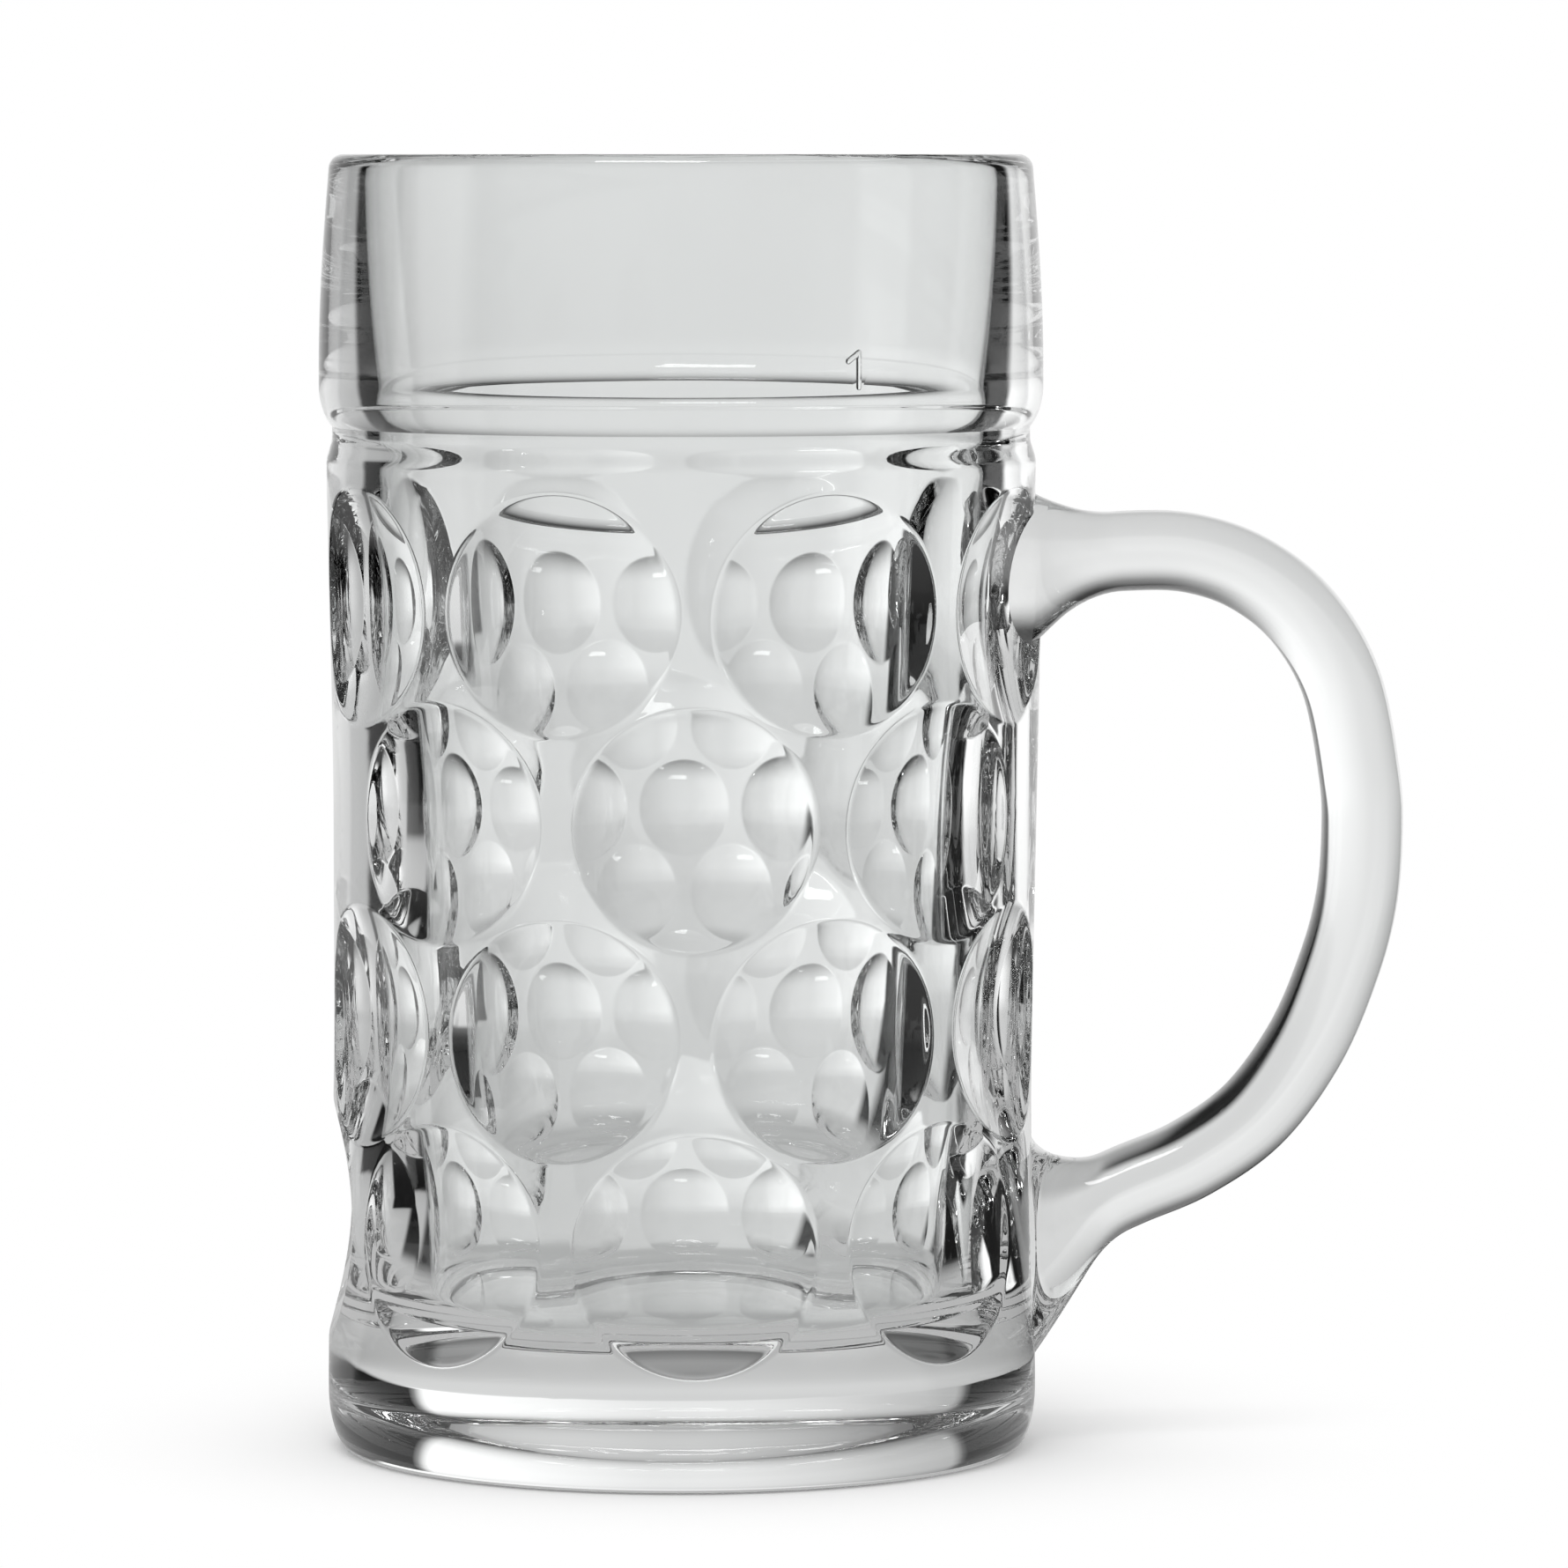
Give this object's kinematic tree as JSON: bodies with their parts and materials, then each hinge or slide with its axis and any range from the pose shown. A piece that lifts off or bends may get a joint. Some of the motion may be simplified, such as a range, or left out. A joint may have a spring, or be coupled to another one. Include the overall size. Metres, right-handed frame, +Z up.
{
  "type": "dimpled glass beer mug",
  "caption": "Tall straight-sided mug of thick clear glass with staggered rows of round dimples, a plain band under the rim, a heavy foot and a loop handle fused to its side.",
  "frame": {"origin": "on the body's axis, at the plane the mug stands on", "axes": "+Z up along the body's axis, +X towards the handle, -Y towards the front, which carries the fill mark on its handle side"},
  "size_m": [0.1713, 0.114, 0.204],
  "materials": {
    "body_glass": "clear, fire polished",
    "handle_glass": "clear, fire polished"
  },
  "bodies": {
    "root": {"glass_body": "body_glass", "handle": "handle_glass"}
  },
  "joints": []
}
